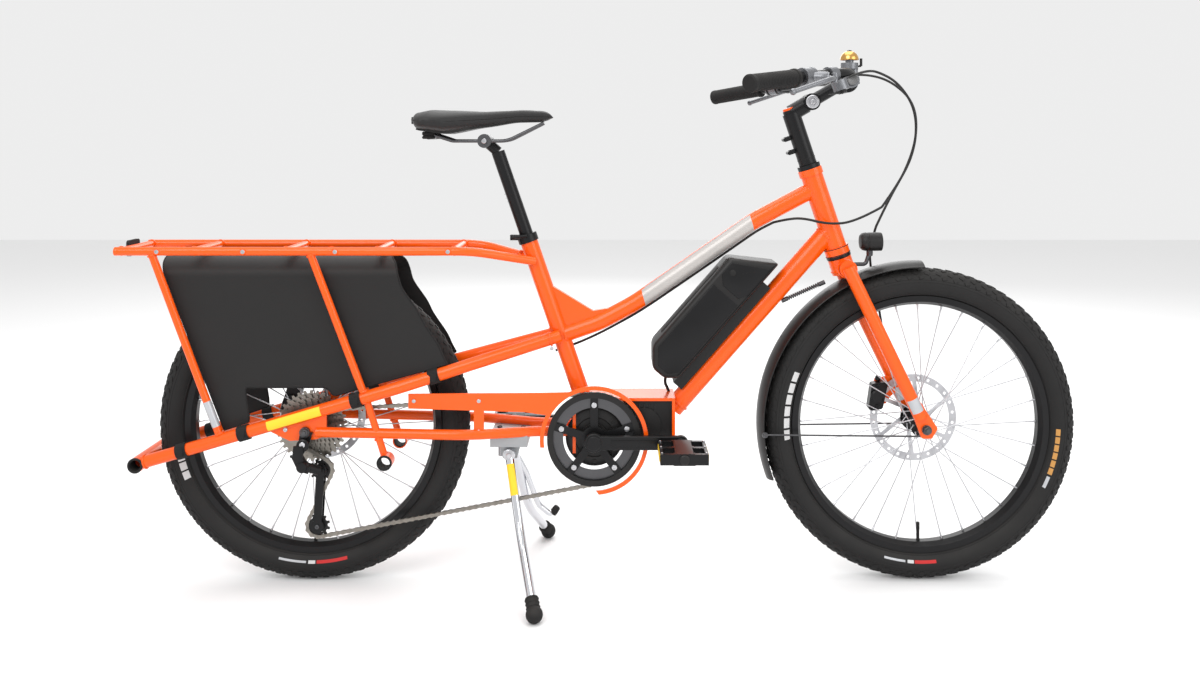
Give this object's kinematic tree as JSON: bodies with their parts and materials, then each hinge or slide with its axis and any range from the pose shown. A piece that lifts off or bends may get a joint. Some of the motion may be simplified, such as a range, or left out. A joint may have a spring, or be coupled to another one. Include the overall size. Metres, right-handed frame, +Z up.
{
  "type": "cargo bicycle",
  "caption": "Electric longtail cargo bicycle with low frame, rear rack, wheel skirt, mid motor, tube battery and two-leg stand.",
  "frame": {"origin": "on the ground, midway between the rear end of the rack and the front of the front tyre, on the middle plane", "axes": "+X forward, +Z up, -Y the rider's right, the chain side"},
  "size_m": [1.91, 0.6564, 1.0623],
  "materials": {
    "paint": "gloss orange",
    "black_rubber": "matt black",
    "black_alloy": "satin black anodised",
    "black_plastic": "satin black",
    "grey_alloy": "satin grey",
    "pedal_alloy": "black body, silver cage",
    "skirt_sheet": "coated black cloth",
    "dark_steel": "satin",
    "bright_steel": "bright",
    "rotor_steel": "satin",
    "chain_steel": "oiled",
    "cable_jacket": "black",
    "tyre": "black",
    "brass": "polished",
    "saddle_cover": "black synthetic",
    "chrome": "bright"
  },
  "bodies": {
    "frame": {"head_tube": "paint", "top_tube": "paint", "down_tube": "paint", "seat_tube": "paint", "rear_stays": "paint", "frame_brackets": "paint", "rack": "paint", "rack_struts": "paint", "chain_guard": "paint", "rack_trim": "black_rubber", "headset_and_collar": "black_alloy", "battery_mount": "black_plastic", "motor_unit": "black_plastic", "battery_case": "black_plastic", "rear_caliper": "black_alloy", "stand_bracket": "grey_alloy", "wheel_skirt": "skirt_sheet", "rear_axle": "dark_steel", "derailleur_body": "black_alloy", "frame_cables": "cable_jacket", "chain": "chain_steel"},
    "fork": {"fork": "paint", "fork_hardware": "dark_steel", "front_fender": "black_plastic", "head_light": "black_plastic", "front_caliper": "black_alloy", "stem_base": "black_alloy", "steer_cables": "cable_jacket", "stabiliser": "dark_steel"},
    "bars": {"stem_arm": "black_alloy", "handlebar": "black_alloy", "grips": "black_rubber", "bar_fittings": "grey_alloy", "bell_dome": "brass", "bar_cables": "cable_jacket"},
    "front_wheel": {"front_tyre": "tyre", "front_rim": "black_alloy", "front_spokes": "bright_steel", "front_hub": "rotor_steel"},
    "rear_wheel": {"rear_tyre": "tyre", "rear_rim": "black_alloy", "rear_spokes": "bright_steel", "rear_hub": "rotor_steel"},
    "crank": {"chainring": "black_alloy", "cranks": "black_alloy"},
    "pedal_right": {"pedal_right": "pedal_alloy"},
    "pedal_left": {"pedal_left": "pedal_alloy"},
    "cassette": {"cassette": "chain_steel"},
    "cage": {"derailleur_cage": "black_alloy"},
    "guide_pulley": {"guide_pulley": "black_plastic"},
    "tension_pulley": {"tension_pulley": "black_plastic"},
    "stand": {"stand_legs": "chrome", "stand_feet": "black_rubber"},
    "seat": {"seat_post": "black_alloy", "saddle": "saddle_cover", "saddle_rails": "dark_steel"},
    "brake_right": {"brake_lever_right": "grey_alloy"},
    "brake_left": {"brake_lever_left": "grey_alloy"},
    "shift": {"shift_lever": "black_plastic"},
    "striker": {"bell_striker": "black_plastic"}
  },
  "joints": [
    {"name": "steering", "type": "hinge", "parent": "frame", "child": "fork", "pos_m": [0.45, 0, 0.741], "axis": [-0.3162, 0, 0.9487], "range_deg": [-50, 50], "stiffness_Nm_per_rad": 1.5, "deforming": ["steer_cables", "stabiliser"]},
    {"name": "stem_tilt", "type": "hinge", "parent": "fork", "child": "bars", "pos_m": [0.423, 0, 0.963], "axis": [0, 1, 0], "range_deg": [-20, 25], "deforming": ["bar_cables"]},
    {"name": "front_wheel_spin", "type": "hinge", "parent": "fork", "child": "front_wheel", "pos_m": [0.641, 0, 0.314], "axis": [0, 1, 0], "continuous": true},
    {"name": "rear_wheel_spin", "type": "hinge", "parent": "frame", "child": "rear_wheel", "pos_m": [-0.581, 0, 0.314], "axis": [0, 1, 0], "continuous": true},
    {"name": "crank_spin", "type": "hinge", "parent": "frame", "child": "crank", "pos_m": [-0.015, 0, 0.294], "axis": [0, 1, 0], "continuous": true},
    {"name": "pedal_right_spin", "type": "hinge", "parent": "crank", "child": "pedal_right", "pos_m": [0.155, 0, 0.294], "axis": [0, 1, 0], "continuous": true},
    {"name": "pedal_left_spin", "type": "hinge", "parent": "crank", "child": "pedal_left", "pos_m": [-0.185, 0, 0.294], "axis": [0, 1, 0], "continuous": true},
    {"name": "cassette_spin", "type": "hinge", "parent": "frame", "child": "cassette", "pos_m": [-0.581, 0, 0.314], "axis": [0, 1, 0], "continuous": true},
    {"name": "cage_swing", "type": "hinge", "parent": "frame", "child": "cage", "pos_m": [-0.556, 0, 0.232], "axis": [0, 1, 0], "range_deg": [-18, 25], "stiffness_Nm_per_rad": 0.8, "deforming": ["chain"]},
    {"name": "guide_pulley_spin", "type": "hinge", "parent": "cage", "child": "guide_pulley", "pos_m": [-0.556, 0, 0.232], "axis": [0, 1, 0], "continuous": true},
    {"name": "tension_pulley_spin", "type": "hinge", "parent": "cage", "child": "tension_pulley", "pos_m": [-0.562, 0, 0.122], "axis": [0, 1, 0], "continuous": true},
    {"name": "stand_fold", "type": "hinge", "parent": "frame", "child": "stand", "pos_m": [-0.185, 0, 0.258], "axis": [0, 1, 0], "range_deg": [0, 92]},
    {"name": "seat_height", "type": "slide", "parent": "frame", "child": "seat", "axis": [-0.3265, 0, 0.9452], "range_m": [-0.1, 0.06]},
    {"name": "brake_right_pull", "type": "hinge", "parent": "bars", "child": "brake_right", "pos_m": [0.42734, -0.21385, 0.99951], "axis": [0, 0, -1], "range_deg": [0, 16], "stiffness_Nm_per_rad": 1.2},
    {"name": "brake_left_pull", "type": "hinge", "parent": "bars", "child": "brake_left", "pos_m": [0.42734, 0.21385, 0.99951], "axis": [0, 0, 1], "range_deg": [0, 16], "stiffness_Nm_per_rad": 1.2},
    {"name": "shift_push", "type": "hinge", "parent": "bars", "child": "shift", "pos_m": [0.45098, -0.1654, 0.97866], "axis": [0.3145, -0.1048, -0.9435], "range_deg": [0, 18], "stiffness_Nm_per_rad": 0.5},
    {"name": "bell_strike", "type": "hinge", "parent": "bars", "child": "striker", "pos_m": [0.5085, -0.058, 1.032], "axis": [0, 1, 0], "range_deg": [0, 14], "stiffness_Nm_per_rad": 0.05}
  ],
  "couplings": [
    {"joint": "cassette_spin", "follows": "crank_spin", "ratio": 2.5882},
    {"joint": "guide_pulley_spin", "follows": "crank_spin", "ratio": -4},
    {"joint": "tension_pulley_spin", "follows": "crank_spin", "ratio": 4}
  ]
}
